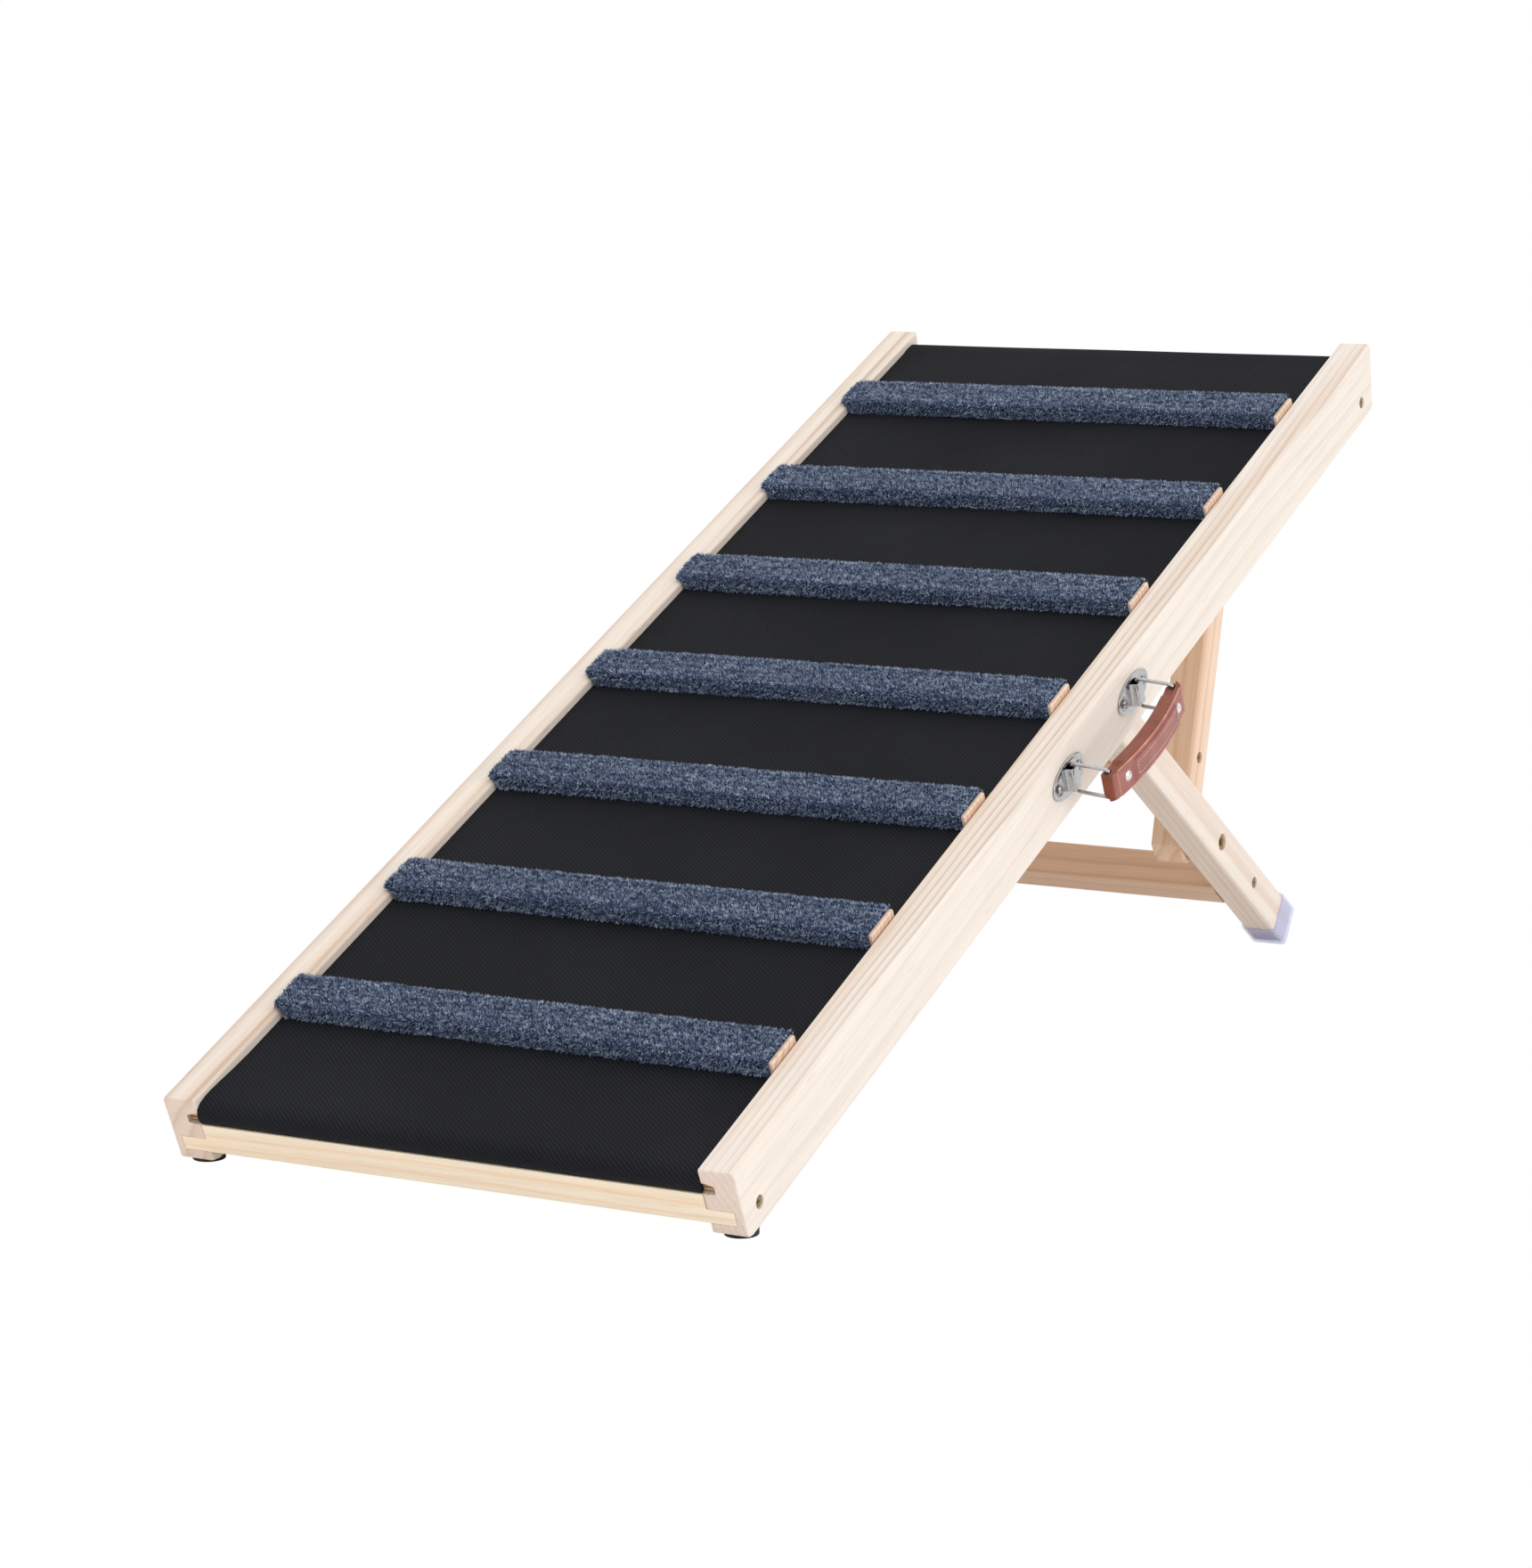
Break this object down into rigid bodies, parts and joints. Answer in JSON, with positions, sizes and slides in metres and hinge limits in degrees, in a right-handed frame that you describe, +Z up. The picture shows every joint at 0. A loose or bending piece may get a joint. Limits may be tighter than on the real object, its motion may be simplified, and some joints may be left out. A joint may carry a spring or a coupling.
{
  "type": "dog ramp",
  "caption": "Folding wooden dog ramp: grooved side rails, a ribbed mat with carpeted cleats, a leg frame propped by a notched brace, and a leather carry handle on one side.",
  "frame": {"origin": "on the floor, under the middle of the object's box as it stands with its legs out", "axes": "+Z up; +Y level, from the low end towards the high end; +X to the right for someone walking up, the side the carry handle is on"},
  "size_m": [0.4438, 0.9678, 0.4373],
  "materials": {
    "pine": "planed, oiled",
    "plywood": "planed",
    "beech": "turned",
    "anti_slip_mat": "ribbed, matt",
    "carpet": "cut pile",
    "foot_rubber": "matt",
    "clear_vinyl": "clear, slightly blue",
    "chrome": "polished",
    "zinc_steel": "zinc plated",
    "brass": "dull",
    "leather": "brown, stitched"
  },
  "bodies": {
    "ramp": {"rail_left": "pine", "rail_right": "pine", "low_crossbar": "pine", "high_crossbar": "pine", "prop_rack_left": "pine", "prop_rack_right": "pine", "cleat_slat_1": "pine", "cleat_slat_2": "pine", "cleat_slat_3": "pine", "cleat_slat_4": "pine", "cleat_slat_5": "pine", "cleat_slat_6": "pine", "cleat_slat_7": "pine", "deck_board": "plywood", "tread_mat": "anti_slip_mat", "cleat_carpet_1": "carpet", "cleat_carpet_2": "carpet", "cleat_carpet_3": "carpet", "cleat_carpet_4": "carpet", "cleat_carpet_5": "carpet", "cleat_carpet_6": "carpet", "cleat_carpet_7": "carpet", "foot_pad_left": "foot_rubber", "foot_pad_right": "foot_rubber", "handle_plate_low": "chrome", "handle_plate_high": "chrome", "leg_bolt_left": "zinc_steel", "leg_bolt_right": "zinc_steel", "plate_screw_low_1": "zinc_steel", "plate_screw_low_2": "zinc_steel", "plate_screw_high_1": "zinc_steel", "plate_screw_high_2": "zinc_steel", "rail_screw_low_left": "zinc_steel", "rail_screw_low_right": "zinc_steel", "rail_screw_high_left": "zinc_steel", "rail_screw_high_right": "zinc_steel"},
    "leg_frame": {"leg_left": "pine", "leg_right": "pine", "leg_crossbar": "pine", "leg_cap_left": "clear_vinyl", "leg_cap_right": "clear_vinyl", "leg_screw_left": "zinc_steel", "leg_screw_right": "zinc_steel", "brace_bolt_left": "brass", "brace_bolt_right": "brass"},
    "brace_frame": {"brace_arm_left": "pine", "brace_arm_right": "pine", "brace_crossbar": "pine", "prop_dowel": "beech", "brace_screw_left": "zinc_steel", "brace_screw_right": "zinc_steel"},
    "bail_low": {"bail_low": "chrome"},
    "bail_high": {"bail_high": "chrome"},
    "grip": {"handle_grip": "leather", "grip_rivet_low": "zinc_steel", "grip_rivet_high": "zinc_steel"}
  },
  "joints": [
    {"name": "leg_fold", "type": "hinge", "parent": "ramp", "child": "leg_frame", "pos_m": [-0.02187, 0.07051, 0.23427], "axis": [-1, 0, 0], "range_deg": [0, 123.25]},
    {"name": "brace_fold", "type": "hinge", "parent": "leg_frame", "child": "brace_frame", "pos_m": [-0.02187, 0.26832, 0.09837], "axis": [1, 0, 0], "range_deg": [0, 71.69]},
    {"name": "bail_low_swing", "type": "hinge", "parent": "ramp", "child": "bail_low", "pos_m": [0.18272, -0.04407, 0.19928], "axis": [0, -0.3786, 0.9255], "range_deg": [-61, 79]},
    {"name": "bail_high_swing", "type": "hinge", "parent": "ramp", "child": "bail_high", "pos_m": [0.18272, 0.05552, 0.24002], "axis": [0, -0.3786, 0.9255], "range_deg": [-61, 79]},
    {"name": "grip_swing", "type": "hinge", "parent": "bail_low", "child": "grip", "pos_m": [0.21088, -0.0482, 0.19759], "axis": [0, -0.3786, 0.9255], "range_deg": [-79, 61]}
  ],
  "couplings": [
    {"joint": "brace_fold", "follows": "leg_fold", "ratio": 0.5812},
    {"joint": "bail_high_swing", "follows": "bail_low_swing", "ratio": 1},
    {"joint": "grip_swing", "follows": "bail_low_swing", "ratio": -1}
  ]
}
